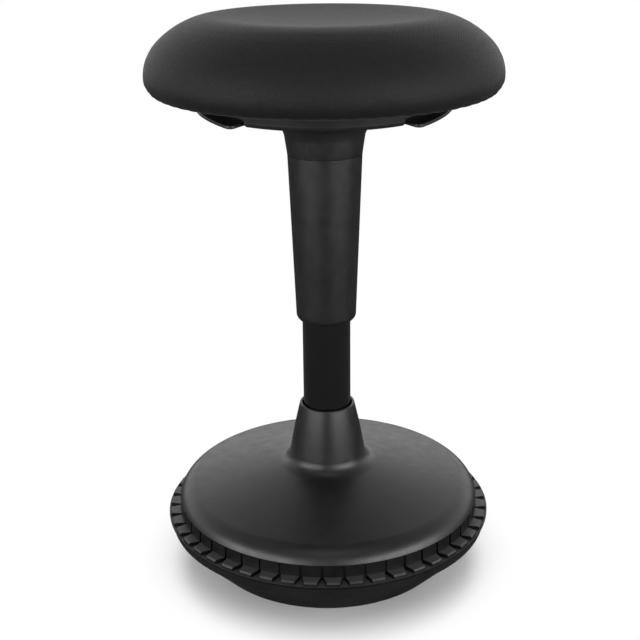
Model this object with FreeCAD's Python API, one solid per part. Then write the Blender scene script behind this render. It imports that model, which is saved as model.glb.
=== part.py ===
import FreeCAD, Part
import math
import os

# Wobble stool: a padded seat on a gas lift that stands on a round rocking base.
# Millimetres, +Z up, origin at the centre of the flat contact patch under the base.

# Rocking base: bowl, rim band and tread ring
LIP_RADIUS = 174.0            # widest part of the base
FOOT_RADIUS = 58.0            # flat contact patch of the sole
CROWN_RADIUS = 362.0          # rolling curve round the contact patch
WALL_SETBACK = 4.5            # from the lip in to the bowl's top edge
WALL_RUN = 38.5               # from the bowl's top edge in to the end of the rolling curve
WALL_TOP = 60.0
SOLE_THICKNESS = 4.0
PAN_WALL = 3.5
BAND_STEP = 1.0               # rim band stands out this far over the sole
BAND_SETBACK = 1.0            # from the lip in to the band's top edge
BAND_HEIGHT = 9.5
FLANGE_SETBACK = 27.0         # from the lip in to the flange's inner edge
FLANGE_THICKNESS = 3.0
LIP_RISE = 2.5                # top of the lip over the band
LIP_THICKNESS = 1.6
LIP_GROOVE_DEPTH = 2.5
PAD_COUNT = 48
PAD_HEIGHT = 4.0
PAD_SETBACK = 1.2             # from the lip in to the pads
PAD_LENGTH = 11.0
PAD_OUTER_WIDTH = 11.2
PAD_BEVEL = 1.6
PAD_LEAN = 0.4                # outward lean of a pad's outer face over its height
PAD_PHASE = 1.5               # degrees from the front centre to the nearest pad
SLIT_WIDTH = 2.7
SLIT_DEPTH = 1.6
SLIT_TOP_MARGIN = 1.0
RING_WALL = 2.4
RING_WALL_LEAN = 0.7          # radius that the wall behind the pads loses towards its top

# Base cover: dome, flare and collar
SKIRT_GAP = 0.3               # between the cover's skirt and the tread ring
RIM_SETBACK = 0.4             # from the pads' inner ends in to the rim's lower edge
RIM_RISE = 16.7               # rim's lower edge over the top of the lip
RIM_ROUND = 22.0
RIM_EDGE_NORMAL = 18.0        # degrees of the surface normal above level, at the rim's lower edge
DOME_RIM_NORMAL = 76.5
DOME_INNER_NORMAL = 80.0
FLARE_RADIUS = 16.0
COLLAR_FOOT_RADIUS = 40.35
COLLAR_NORMAL_LOW = 9.5
COLLAR_NORMAL_HIGH = 13.5
COLLAR_BOW_RADIUS = 800.0
COLLAR_LIP = 1.4
COVER_WALL = 3.0
COVER_SCREW_COUNT = 6
COVER_SCREW_CIRCLE = 104.0
COVER_BOSS_RADIUS = 6.5
COVER_PILOT_RADIUS = 1.7
BOSS_RISE = 0.5               # meeting level of the pan's and the cover's bosses over the band

# Pan ribs, ballast and hub
RIB_COUNT = 12
RIB_THICKNESS = 2.5
RIB_INNER_RADIUS = 58.0
RIB_SHELF = 30.0
RIB_SHELF_RADIUS = 95.0
RIB_SETBACK = 18.0            # from the lip in to the ribs' outer ends
PAN_BOSS_RADIUS = 7.0
RECESS_RADIUS = 4.6           # screw recess that opens at the sole
RECESS_CEILING = 2.0          # drop of the recess's end below the bowl's top edge
BALLAST_INNER_RADIUS = 62.0
BALLAST_OUTER_RADIUS = 92.0
BALLAST_THICKNESS = 16.0
BALLAST_SCREW_COUNT = 3
BALLAST_SCREW_CIRCLE = 77.0
BALLAST_SCREW_PHASE = 15.0
BALLAST_BOSS_RADIUS = 6.0
BALLAST_SCREW_RADIUS = 3.0
BALLAST_SCREW_BITE = 9.5
HUB_WALL = 5.0
HUB_TOP = 105.0
HUB_FLANGE_RADIUS = 55.0
HUB_FLANGE_THICKNESS = 5.0
HUB_FIT = 0.06                # radial gap between the hub and the tube
GUSSET_COUNT = 6
GUSSET_THICKNESS = 4.0
GUSSET_REACH = 21.0
GUSSET_HEIGHT = 48.0
HUB_BOLT_CIRCLE = 44.0
HUB_BOLT_RADIUS = 4.0

# Gas lift
TUBE_RADIUS = 25.0
TUBE_WALL = 2.0
TUBE_TOP_DROP = 122.0         # top of the tube below the board
END_CAP_BOTTOM = 28.0
END_CAP_THICKNESS = 6.0
CYLINDER_RADIUS = 14.0
CYLINDER_WALL = 1.5
CYLINDER_BOTTOM = 110.0
CYLINDER_TOP_DROP = 29.0      # top of the cylinder below the board
CYLINDER_LIP = 2.0
CYLINDER_LIP_REACH = 3.0
CYLINDER_EDGE = 1.0
TAPER_LENGTH = 38.0
TAPER_DROP = 0.5              # radius lost along the taper
TAPER_FIT = 0.03
GUIDE_LENGTH = 102.0
GUIDE_FLANGE = 2.5
RUNNING_FIT = 0.06
ROD_RADIUS = 5.0
ROD_SPIGOT_RADIUS = 4.0
ROD_CHAMFER = 1.0
ROD_TOP_ABOVE_PISTON = 4.0
ROD_END_BELOW_CLIP = 4.0
GLAND_LENGTH = 24.0
SEAL_LENGTH = 6.0
PISTON_LENGTH = 18.0
PISTON_FIT = 0.1
PISTON_RING_WIDTH = 4.0
PISTON_RING_DEPTH = 2.0
LIFT_UP = 100.0               # travel above the level shown
STOP_GAP = 1.0
RACE_THICKNESS = 1.6
RACE_RADIUS = 10.0
BALL_RADIUS = 2.0
BALL_COUNT = 6
BALL_CIRCLE = 7.4
BALL_FIT = 0.15
CAGE_THICKNESS = 1.2
CLIP_THICKNESS = 1.4
CLIP_RADIUS = 8.5
CLIP_GAP = 0.4
BUMP_HEIGHT = 10.0
BUMP_RADIUS = 11.0
BUMP_BEVEL = 3.0
VALVE_LENGTH = 32.0
PIN_RADIUS = 2.0
PIN_HEAD_RADIUS = 3.5
PIN_HEAD_HEIGHT = 3.0
PIN_SEAT = 4.0                # end of the pin above the valve's lower face

# Sleeve and shell neck
SLEEVE_LENGTH = 174.4         # from the lower lip to the seam
SLEEVE_LIP_ROUND = 7.0
SLEEVE_OPENING = 26.0
SLEEVE_LOW_RADIUS = 31.0
SLEEVE_SEAM_DROP = 63.6       # seam below the board
SLEEVE_SEAM_RADIUS = 37.4
SLEEVE_WALL = 2.4
SLEEVE_SPIGOT = 12.0
SLEEVE_SLIP = 0.15            # radial gap between the spigot and the neck
SEAM_GAP = 0.4
NECK_STEP = 0.1
NECK_FLARE_DROP = 46.0        # start of the flare below the board
NECK_FLARE_START_RADIUS = 40.0
NECK_FLARE_RADIUS = 18.0
NECK_NORMAL = -8.0
UNDERSIDE_NORMAL = -79.7
SHELL_RADIUS = 118.0
SHELL_RIM_ROUND = 5.0
SHELL_TOP_RADIUS = 120.0
SHELL_WALL = 2.8
SHELL_FLANGE_RADIUS = 126.0
SHELL_FLANGE_INNER = 112.0
SHELL_FLANGE_THICKNESS = 3.0
SHELL_SCREW_COUNT = 6
SHELL_SCREW_CIRCLE = 92.0
SHELL_BOSS_RADIUS = 5.5
SHELL_RECESS_RADIUS = 4.3
SHELL_RECESS_CEILING = 10.0   # end of the screw recess below the board
SHELL_SCREW_RADIUS = 2.0
SHELL_HEAD_RADIUS = 4.0
SHELL_HEAD_HEIGHT = 3.0
SHELL_SCREW_BITE = 8.0

# Seat: board, foam and cover
BOARD_BOTTOM = 524.0
BOARD_THICKNESS = 12.0
BOARD_RADIUS = 140.0
BOARD_CHAMFER = 1.5
COVER_CLOTH = 2.2
SOFT_GAP = 0.3
SEAT_WIDEST_RISE = 13.5       # widest level of the cushion over the board's underside
SEAT_SIDE_ROUND = 46.0
SEAT_SHOULDER_ROUND = 90.0
SEAT_CREST_ROUND = 35.0
SEAT_LOWER_ROUND = 16.0
SEAT_RADIUS = 174.6
SIDE_TURN = 45.0              # degrees of normal where the side becomes the shoulder
CREST_TURN = 73.0             # degrees of normal where the shoulder becomes the crest
DISH_TURN = 96.0              # degrees of normal where the crest becomes the dish
FLAP_INNER_RADIUS = 128.5

# Seat plate, socket and release levers
PLATE_LENGTH = 130.0
PLATE_WIDTH = 120.0
PLATE_THICKNESS = 3.0
PLATE_CORNER = 14.0
PLATE_EDGE_DROP = 8.0
PLATE_BOLT_X = 50.0
PLATE_BOLT_Y = 45.0
PLATE_BOLT_RADIUS = 3.0
BOLT_HOLE_GAP = 0.3
TNUT_FLANGE_RADIUS = 9.0
TNUT_FLANGE = 1.2
TNUT_BARREL_RADIUS = 4.2
TNUT_BARREL_LENGTH = 9.0
SOCKET_LENGTH = 64.0
SOCKET_RADIUS = 20.0
SOCKET_CHAMBER_RADIUS = 16.5
SOCKET_GUSSET_REACH = 24.0
SOCKET_GUSSET_HEIGHT = 30.0
SOCKET_GUSSET_COUNT = 4
PIVOT_X = 40.0
PIVOT_DROP = 13.0             # pivot below the board
PIVOT_PIN_RADIUS = 2.5
PIVOT_PIN_HALF = 12.0
PIVOT_HEAD_RADIUS = 3.75
PIVOT_HEAD = 1.5
PIVOT_BOSS_RADIUS = 5.5
PIVOT_BOSS_HALF = 8.0
EAR_GAP = 0.3
EAR_THICKNESS = 2.5
EAR_HALF = 6.0
ARM_DROP = 16.5               # underside of the arm below the board
ARM_HEIGHT = 5.0
ARM_HALF = 6.5
ARM_SPREAD_HALF = 19.5        # half width of the arm where it meets the grip
ARM_ROOT = 3.0                # how far the arm runs under the grip
SLOT_GAP = 2.5                # room round the arm in the shell's inner wall
NOSE_REACH = 12.0             # distance from the lift's axis to the nose's tip
WINDOW_GAP = 1.0
LEVER_SWEEP = 6.0             # degrees that a lever lifts
GRIP_INNER_RADIUS = 107.0
GRIP_OUTER_RADIUS = 125.5
GRIP_HALF_ANGLE = 47.0
GRIP_THICKNESS = 3.5
GRIP_ARCH_RADIUS = 700.0
GRIP_CORNER = 6.0
GRIP_EDGE = 1.0
POCKET_INNER_RADIUS = 104.2
POCKET_HALF_ANGLE = 52.0
CAP_RADIUS = 15.5
CAP_GAP = 0.3                 # gap between the noses and the release cap
CAP_HEIGHT = 7.2
CAP_EDGE = 1.0
CAP_POCKET = 2.0

# Fasteners
SCREW_HEAD_RATIO = 1.75       # head radius over shank radius
SCREW_HEAD_HEIGHT = 3.5
COVER_SCREW_RADIUS = 2.0
COVER_SCREW_LENGTH = 22.0

# Shared by all pieces
SCREW_PHASE = 30.0            # first screw of a circle, in degrees from +X
HEX_SIDES = 6
OVERLAP = 1.0                 # how far a cutter or a fused shape reaches past a face
TOUCH = 1e-6
FULL_TURN = 360.0
UPWARD = 90.0
DOWNWARD = -90.0
FRONT = -90.0                 # direction of the front centre seen from above
UP = FreeCAD.Vector(0, 0, 1)
ALONG_Y = FreeCAD.Vector(0, 1, 0)
ORIGIN = FreeCAD.Vector(0, 0, 0)

# Levels and radii that follow from the sizes above
WALL_TOP_RADIUS = LIP_RADIUS - WALL_SETBACK
WALL_FOOT_RADIUS = WALL_TOP_RADIUS - WALL_RUN
BAND_TOP = WALL_TOP + BAND_HEIGHT
BAND_TOP_RADIUS = LIP_RADIUS - BAND_SETBACK
FLANGE_INNER_RADIUS = LIP_RADIUS - FLANGE_SETBACK
LIP_TOP = BAND_TOP + LIP_RISE
PAD_OUTER_RADIUS = LIP_RADIUS - PAD_SETBACK
PAD_INNER_RADIUS = PAD_OUTER_RADIUS - PAD_LENGTH
RING_WALL_TOP_RADIUS = PAD_INNER_RADIUS - RING_WALL_LEAN
RING_BORE_RADIUS = RING_WALL_TOP_RADIUS - RING_WALL
SKIRT_RADIUS = RING_BORE_RADIUS - SKIRT_GAP
RIM_EDGE = LIP_TOP + RIM_RISE
RIM_EDGE_RADIUS = PAD_INNER_RADIUS - RIM_SETBACK
BOSS_JOINT = BAND_TOP + BOSS_RISE
RIB_OUTER_RADIUS = LIP_RADIUS - RIB_SETBACK
RECESS_TOP = WALL_TOP - RECESS_CEILING
BOARD_TOP = BOARD_BOTTOM + BOARD_THICKNESS
SEAT_WIDEST = BOARD_BOTTOM + SEAT_WIDEST_RISE
TUBE_TOP = BOARD_BOTTOM - TUBE_TOP_DROP
CYLINDER_TOP = BOARD_BOTTOM - CYLINDER_TOP_DROP
SLEEVE_SEAM = BOARD_BOTTOM - SLEEVE_SEAM_DROP
SLEEVE_BOTTOM = SLEEVE_SEAM - SLEEVE_LENGTH
NECK_FLARE_START = BOARD_BOTTOM - NECK_FLARE_DROP
SHELL_RECESS_TOP = BOARD_BOTTOM - SHELL_RECESS_CEILING
PIVOT_Z = BOARD_BOTTOM - PIVOT_DROP
ARM_BOTTOM = BOARD_BOTTOM - ARM_DROP
PLATE_BOTTOM = BOARD_BOTTOM - PLATE_THICKNESS
SOCKET_BOTTOM = PLATE_BOTTOM - SOCKET_LENGTH
SHELL_FLANGE_BOTTOM = BOARD_BOTTOM - SHELL_FLANGE_THICKNESS
PAN_FLOOR = SOLE_THICKNESS + PAN_WALL
HUB_FLANGE_TOP = PAN_FLOOR + HUB_FLANGE_THICKNESS
TUBE_INNER = TUBE_RADIUS - TUBE_WALL
END_CAP_TOP = END_CAP_BOTTOM + END_CAP_THICKNESS
BORE_RADIUS = CYLINDER_RADIUS - CYLINDER_WALL
CAGE_LEVEL = END_CAP_TOP + RACE_THICKNESS + BALL_FIT + BALL_RADIUS
UPPER_RACE_BOTTOM = CAGE_LEVEL + BALL_RADIUS + BALL_FIT
UPPER_RACE_TOP = UPPER_RACE_BOTTOM + RACE_THICKNESS
GLAND_BOTTOM = CYLINDER_BOTTOM + CYLINDER_LIP
SEAL_TOP = GLAND_BOTTOM + GLAND_LENGTH + SEAL_LENGTH
PISTON_BOTTOM = SEAL_TOP + LIFT_UP + STOP_GAP
PISTON_TOP = PISTON_BOTTOM + PISTON_LENGTH
VALVE_TOP = CYLINDER_TOP - CYLINDER_LIP
CAP_TOP = ARM_BOTTOM - CAP_GAP
CAP_BOTTOM = CAP_TOP - CAP_HEIGHT


def spot(r, z):
    """Point of a section, r out from the stool's axis and z up."""
    return FreeCAD.Vector(r, 0, z)


def section(start, *steps):
    """Closed outline: a step is (r, z) for a line, or (r, z, middle r, middle z) for an arc."""
    edges = []
    here = spot(*start)
    for step in steps + (start,):
        there = spot(step[0], step[1])
        if len(step) == 4:
            edges.append(Part.Arc(here, spot(step[2], step[3]), there).toShape())
        elif here.distanceToPoint(there) > TOUCH:
            edges.append(Part.LineSegment(here, there).toShape())
        here = there
    return Part.Face(Part.Wire(edges))


def turned(start, *steps):
    """Solid of revolution about the stool's axis."""
    return section(start, *steps).revolve(ORIGIN, UP, FULL_TURN)


def on_circle(centre, radius, degrees):
    """Point at an angle from +r towards +z."""
    turn = math.radians(degrees)
    return (centre[0] + radius * math.cos(turn), centre[1] + radius * math.sin(turn))


def arc_step(centre, radius, start_degrees, end_degrees):
    """Step of a section along an arc about a centre."""
    middle = on_circle(centre, radius, (start_degrees + end_degrees) / 2)
    return on_circle(centre, radius, end_degrees) + middle


def ring(inner, outer, bottom, top):
    """Plain ring or bush about the stool's axis."""
    return turned((inner, bottom), (outer, bottom), (outer, top), (inner, top))


def post(radius, bottom, top, x=0.0, y=0.0):
    """Upright round bar."""
    return Part.makeCylinder(radius, top - bottom, FreeCAD.Vector(x, y, bottom), UP)


def block(low, high):
    """Box between two corners."""
    size = [high[i] - low[i] for i in range(3)]
    return Part.makeBox(size[0], size[1], size[2], FreeCAD.Vector(*low))


def spun(shape, degrees):
    """Copy turned about the stool's axis."""
    copy = shape.copy()
    copy.rotate(ORIGIN, UP, degrees)
    return copy


def pattern(shape, count, phase=0.0):
    """Copies evenly spaced round the stool's axis."""
    return [spun(shape, phase + FULL_TURN * i / count) for i in range(count)]


def hexagon(radius, bottom, top, x=0.0, y=0.0):
    """Hexagonal bolt head, radius over its corners."""
    corners = []
    for i in range(HEX_SIDES):
        turn = math.radians(FULL_TURN * i / HEX_SIDES)
        corners.append(FreeCAD.Vector(x + radius * math.cos(turn), y + radius * math.sin(turn), bottom))
    face = Part.Face(Part.makePolygon(corners + corners[:1]))
    return face.extrude(UP * (top - bottom))


def sector(inner, outer, half_angle, bottom, top):
    """Piece of a ring about the +X direction."""
    a = math.radians(half_angle)
    corner = [
        FreeCAD.Vector(inner * math.cos(a), -inner * math.sin(a), bottom),
        FreeCAD.Vector(outer * math.cos(a), -outer * math.sin(a), bottom),
        FreeCAD.Vector(outer * math.cos(a), outer * math.sin(a), bottom),
        FreeCAD.Vector(inner * math.cos(a), inner * math.sin(a), bottom),
    ]
    edges = [
        Part.LineSegment(corner[0], corner[1]).toShape(),
        Part.Arc(corner[1], FreeCAD.Vector(outer, 0, bottom), corner[2]).toShape(),
        Part.LineSegment(corner[2], corner[3]).toShape(),
        Part.Arc(corner[3], FreeCAD.Vector(inner, 0, bottom), corner[0]).toShape(),
    ]
    return Part.Face(Part.Wire(edges)).extrude(UP * (top - bottom))


def across(face, thickness):
    """Plate of even thickness on both sides of a section's plane."""
    face.translate(FreeCAD.Vector(0, -thickness / 2, 0))
    return face.extrude(FreeCAD.Vector(0, thickness, 0))


def upright_edges(shape):
    """Edges that run along Z."""
    return [edge for edge in shape.Edges if edge.BoundBox.ZLength > edge.BoundBox.DiagonalLength / 2]


def group(shapes):
    """One node of separate solids."""
    return Part.makeCompound(shapes)


# Bowl of the base, shared by the sole, the pan and the ribs

def bowl(inset):
    """Key points of the bowl's surface, moved in by an inset: foot, wall foot and wall top."""
    centre_z = math.sqrt(CROWN_RADIUS ** 2 - FOOT_RADIUS ** 2)
    radius = CROWN_RADIUS - inset
    foot = (math.sqrt(radius ** 2 - (centre_z - inset) ** 2), inset)
    crown_end_z = centre_z - math.sqrt(CROWN_RADIUS ** 2 - WALL_FOOT_RADIUS ** 2)
    run = WALL_TOP_RADIUS - WALL_FOOT_RADIUS
    rise = WALL_TOP - crown_end_z
    length = math.hypot(run, rise)
    along = (run / length, rise / length)
    base = (WALL_FOOT_RADIUS - inset * along[1], crown_end_z + inset * along[0])
    # The moved wall meets the moved rolling curve
    b = base[0] * along[0] + (base[1] - centre_z) * along[1]
    c = base[0] ** 2 + (base[1] - centre_z) ** 2 - radius ** 2
    reach = -b - math.sqrt(b * b - c)
    wall_foot = (base[0] + reach * along[0], base[1] + reach * along[1])
    wall_top = (base[0] + (WALL_TOP - base[1]) * along[0] / along[1], WALL_TOP)
    half = math.radians(DOWNWARD) + (math.asin(foot[0] / radius) + math.asin(wall_foot[0] / radius)) / 2
    middle = (radius * math.cos(half), centre_z + radius * math.sin(half))
    return foot, wall_foot + middle, wall_top


def bowl_room(inset):
    """Solid inside the bowl, above its surface moved in by an inset."""
    foot, curve, top = bowl(inset)
    return turned((0, inset), foot, curve, top, (top[0], BOSS_JOINT), (0, BOSS_JOINT))


def sole():
    """Rubber rolling surface, with the recesses of the cover screws."""
    foot, curve, top = bowl(0.0)
    inner_foot, inner_curve, inner_top = bowl(SOLE_THICKNESS)
    back = inner_foot + inner_curve[2:]
    shape = turned((0, 0), foot, curve, top, inner_top, inner_curve[:2], back, (0, SOLE_THICKNESS))
    holes = pattern(post(RECESS_RADIUS, -OVERLAP, RIB_SHELF, COVER_SCREW_CIRCLE), COVER_SCREW_COUNT, SCREW_PHASE)
    return shape.cut(holes)


def base_pan():
    """Moulded bowl with its rim band, flange, ribs and bosses."""
    foot, curve, top = bowl(SOLE_THICKNESS)
    inner_foot, inner_curve, inner_top = bowl(PAN_FLOOR)
    back = inner_foot + inner_curve[2:]
    band_low = WALL_TOP_RADIUS + BAND_STEP
    shape = turned(
        (0, SOLE_THICKNESS), foot, curve, top,
        (band_low, WALL_TOP), (BAND_TOP_RADIUS, BAND_TOP),
        (FLANGE_INNER_RADIUS, BAND_TOP), (FLANGE_INNER_RADIUS, BAND_TOP - FLANGE_THICKNESS),
        (inner_top[0] + PAN_WALL, BAND_TOP - FLANGE_THICKNESS),
        inner_top, inner_curve[:2], back, (0, PAN_FLOOR),
    )
    # Ribs and bosses stand in the bowl and end inside its wall
    room = bowl_room(SOLE_THICKNESS + PAN_WALL / 2)
    rib = section(
        (RIB_INNER_RADIUS, 0), (RIB_OUTER_RADIUS, 0), (RIB_OUTER_RADIUS, WALL_TOP),
        (RIB_SHELF_RADIUS, RIB_SHELF), (RIB_INNER_RADIUS, RIB_SHELF),
    )
    rib = across(rib, RIB_THICKNESS)
    boss = post(PAN_BOSS_RADIUS, 0, BOSS_JOINT, COVER_SCREW_CIRCLE)
    lug = post(BALLAST_BOSS_RADIUS, 0, RIB_SHELF, BALLAST_SCREW_CIRCLE)
    ribs = [room.common(one) for one in pattern(rib, RIB_COUNT)]
    bosses = [room.common(one) for one in pattern(boss, COVER_SCREW_COUNT, SCREW_PHASE)]
    lugs = [room.common(one) for one in pattern(lug, BALLAST_SCREW_COUNT, BALLAST_SCREW_PHASE)]
    shape = shape.fuse(ribs + bosses + lugs)
    recess = post(RECESS_RADIUS, 0, RECESS_TOP, COVER_SCREW_CIRCLE)
    passage = post(COVER_SCREW_RADIUS + BOLT_HOLE_GAP, RECESS_TOP, BOSS_JOINT, COVER_SCREW_CIRCLE)
    lug_hole = post(BALLAST_SCREW_RADIUS, ballast_screw_end(), RIB_SHELF, BALLAST_SCREW_CIRCLE)
    bolt_hole = post(HUB_BOLT_RADIUS, SOLE_THICKNESS, PAN_FLOOR, HUB_BOLT_CIRCLE)
    cuts = pattern(recess.fuse(passage), COVER_SCREW_COUNT, SCREW_PHASE)
    cuts += pattern(lug_hole, BALLAST_SCREW_COUNT, BALLAST_SCREW_PHASE)
    cuts += pattern(bolt_hole, GUSSET_COUNT, SCREW_PHASE)
    return shape.cut(cuts).removeSplitter()


def ballast_screw_end():
    """Level of the ballast screws' tips."""
    return RIB_SHELF - BALLAST_SCREW_BITE


def tread_ring():
    """Rubber ring: lip, wedge-shaped pads between flared notches, and a slit wall behind them."""
    pad_top = LIP_TOP + PAD_HEIGHT
    slit_top = RIM_EDGE - SLIT_TOP_MARGIN
    shape = turned(
        (RING_BORE_RADIUS, BAND_TOP), (LIP_RADIUS - LIP_GROOVE_DEPTH, BAND_TOP),
        (LIP_RADIUS - LIP_GROOVE_DEPTH, LIP_TOP - LIP_THICKNESS), (LIP_RADIUS, LIP_TOP - LIP_THICKNESS),
        (LIP_RADIUS, LIP_TOP), (PAD_OUTER_RADIUS, LIP_TOP),
        (PAD_OUTER_RADIUS - PAD_LEAN, pad_top - PAD_BEVEL), (PAD_OUTER_RADIUS - PAD_BEVEL, pad_top),
        (PAD_INNER_RADIUS, pad_top), (RING_WALL_TOP_RADIUS, RIM_EDGE), (RING_BORE_RADIUS, RIM_EDGE),
    )
    pitch = FULL_TURN / PAD_COUNT
    reach = LIP_RADIUS + OVERLAP
    inner = PAD_INNER_RADIUS - SLIT_DEPTH
    slit_half = SLIT_WIDTH / 2
    notch_half = reach * math.sin(math.radians(pitch / 2)) - PAD_OUTER_WIDTH / 2
    plan = [(inner, -slit_half), (PAD_INNER_RADIUS, -slit_half), (reach, -notch_half),
            (reach, notch_half), (PAD_INNER_RADIUS, slit_half), (inner, slit_half)]
    corners = [FreeCAD.Vector(x, y, LIP_TOP) for x, y in plan]
    notch = Part.Face(Part.makePolygon(corners + corners[:1])).extrude(UP * (PAD_HEIGHT + OVERLAP))
    # The slit follows the slope of the wall
    slit = section(
        (inner, LIP_TOP), (PAD_INNER_RADIUS + OVERLAP, LIP_TOP), (PAD_INNER_RADIUS + OVERLAP, slit_top),
        (RING_WALL_TOP_RADIUS - SLIT_DEPTH, slit_top),
    )
    tool = notch.fuse(across(slit, SLIT_WIDTH))
    return shape.cut(pattern(tool, PAD_COUNT, FRONT + PAD_PHASE + pitch / 2))


def cover_surface(inset):
    """Arcs of the cover from the rim's lower edge up to the collar's lip, moved in by an inset."""
    rim_centre = on_circle((RIM_EDGE_RADIUS, RIM_EDGE), -RIM_ROUND, RIM_EDGE_NORMAL)
    dome_start = on_circle(rim_centre, RIM_ROUND, DOME_RIM_NORMAL)
    # The dome's radius makes it end at the foot of the flare
    inner_cosine = math.cos(math.radians(DOME_INNER_NORMAL))
    flare_run = FLARE_RADIUS * (math.cos(math.radians(COLLAR_NORMAL_LOW)) - inner_cosine)
    dome_run = dome_start[0] - COLLAR_FOOT_RADIUS - flare_run
    dome_radius = dome_run / (math.cos(math.radians(DOME_RIM_NORMAL)) - inner_cosine)
    dome_centre = on_circle(dome_start, -dome_radius, DOME_RIM_NORMAL)
    dome_end = on_circle(dome_centre, dome_radius, DOME_INNER_NORMAL)
    flare_centre = on_circle(dome_end, FLARE_RADIUS, DOME_INNER_NORMAL)
    collar_foot = on_circle(flare_centre, -FLARE_RADIUS, COLLAR_NORMAL_LOW)
    collar_centre = on_circle(collar_foot, -COLLAR_BOW_RADIUS, COLLAR_NORMAL_LOW)
    rim_start = RIM_EDGE_NORMAL
    if inset > 0:
        # The inner arc starts where it meets the inside of the skirt
        run = SKIRT_RADIUS - inset - rim_centre[0]
        rim_start = math.degrees(math.acos(run / (RIM_ROUND - inset)))
    return [
        (rim_centre, RIM_ROUND - inset, rim_start, DOME_RIM_NORMAL),
        (dome_centre, dome_radius - inset, DOME_RIM_NORMAL, DOME_INNER_NORMAL),
        (flare_centre, -(FLARE_RADIUS + inset), DOME_INNER_NORMAL, COLLAR_NORMAL_LOW),
        (collar_centre, COLLAR_BOW_RADIUS - inset, COLLAR_NORMAL_LOW, COLLAR_NORMAL_HIGH),
    ]


def cover_fill(inset, bottom):
    """Solid under the cover's surface, moved in by an inset."""
    arcs = cover_surface(inset)
    steps = [arc_step(*arc) for arc in arcs]
    start = on_circle(arcs[0][0], arcs[0][1], arcs[0][2])
    return turned((0, bottom), (start[0], bottom), start, *steps, (0, steps[-1][1]))


def base_cover():
    """Dome with rolled rim, flare and tapered collar, and its screw bosses inside."""
    outer = cover_surface(0.0)
    inner = cover_surface(COVER_WALL)
    out_steps = [arc_step(*arc) for arc in outer]
    in_steps = [arc_step(centre, radius, end, start) for centre, radius, start, end in reversed(inner)]
    lip = out_steps[-1][:2]
    lip_inner = on_circle(inner[-1][0], inner[-1][1], inner[-1][3])
    shape = turned(
        (SKIRT_RADIUS, BAND_TOP), (SKIRT_RADIUS, RIM_EDGE), (RIM_EDGE_RADIUS, RIM_EDGE),
        *out_steps, (lip_inner[0], lip[1], (lip[0] + lip_inner[0]) / 2, lip[1] + COLLAR_LIP), lip_inner,
        *in_steps, (SKIRT_RADIUS - COVER_WALL, BAND_TOP),
    )
    boss = post(COVER_BOSS_RADIUS, BOSS_JOINT, lip[1], COVER_SCREW_CIRCLE)
    pilot = post(COVER_PILOT_RADIUS, BOSS_JOINT, BOSS_JOINT + COVER_SCREW_LENGTH, COVER_SCREW_CIRCLE)
    under = cover_fill(COVER_WALL / 2, BOSS_JOINT)
    bosses = [one.common(under) for one in pattern(boss, COVER_SCREW_COUNT, SCREW_PHASE)]
    return shape.fuse(bosses).cut(pattern(pilot, COVER_SCREW_COUNT, SCREW_PHASE))


def screw(radius, head_radius, head_bottom, head_top, tip, x, y=0.0):
    """Round-headed screw: the tip may lie above or below the head."""
    head = post(head_radius, head_bottom, head_top, x, y)
    if tip > head_top:
        return head.fuse(post(radius, head_top, tip, x, y))
    return head.fuse(post(radius, tip, head_bottom, x, y))


def cover_screws():
    """Screws that go up through the pan's bosses into the cover's."""
    head_bottom = RECESS_TOP - SCREW_HEAD_HEIGHT
    one = screw(COVER_PILOT_RADIUS, COVER_SCREW_RADIUS * SCREW_HEAD_RATIO, head_bottom, RECESS_TOP,
                RECESS_TOP + COVER_SCREW_LENGTH, COVER_SCREW_CIRCLE)
    return group(pattern(one, COVER_SCREW_COUNT, SCREW_PHASE))


def ballast_ring():
    """Cast ring on the pan's ribs that keeps the weight low."""
    top = RIB_SHELF + BALLAST_THICKNESS
    shape = ring(BALLAST_INNER_RADIUS, BALLAST_OUTER_RADIUS, RIB_SHELF, top)
    hole = post(BALLAST_SCREW_RADIUS + BOLT_HOLE_GAP, RIB_SHELF, top, BALLAST_SCREW_CIRCLE)
    return shape.cut(pattern(hole, BALLAST_SCREW_COUNT, BALLAST_SCREW_PHASE))


def ballast_screws():
    """Screws that hold the ballast to the pan."""
    top = RIB_SHELF + BALLAST_THICKNESS
    one = screw(BALLAST_SCREW_RADIUS, BALLAST_SCREW_RADIUS * SCREW_HEAD_RATIO, top, top + SCREW_HEAD_HEIGHT,
                ballast_screw_end(), BALLAST_SCREW_CIRCLE)
    return group(pattern(one, BALLAST_SCREW_COUNT, BALLAST_SCREW_PHASE))


def hub_socket():
    """Steel hub that holds the lift's tube, with its flange and gussets."""
    inner = TUBE_RADIUS + HUB_FIT
    outer = inner + HUB_WALL
    shape = turned(
        (0, PAN_FLOOR), (HUB_FLANGE_RADIUS, PAN_FLOOR), (HUB_FLANGE_RADIUS, HUB_FLANGE_TOP),
        (outer, HUB_FLANGE_TOP), (outer, HUB_TOP), (inner, HUB_TOP), (inner, HUB_FLANGE_TOP), (0, HUB_FLANGE_TOP),
    )
    root = outer - HUB_WALL / 2
    gusset = section(
        (root, HUB_FLANGE_TOP - OVERLAP), (outer + GUSSET_REACH, HUB_FLANGE_TOP - OVERLAP),
        (outer + GUSSET_REACH, HUB_FLANGE_TOP + GUSSET_THICKNESS),
        (outer + GUSSET_THICKNESS, HUB_FLANGE_TOP + GUSSET_HEIGHT), (root, HUB_FLANGE_TOP + GUSSET_HEIGHT),
    )
    gusset = across(gusset, GUSSET_THICKNESS)
    hole = post(HUB_BOLT_RADIUS + BOLT_HOLE_GAP, PAN_FLOOR, HUB_FLANGE_TOP, HUB_BOLT_CIRCLE)
    return shape.fuse(pattern(gusset, GUSSET_COUNT)).cut(pattern(hole, GUSSET_COUNT, SCREW_PHASE))


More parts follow.
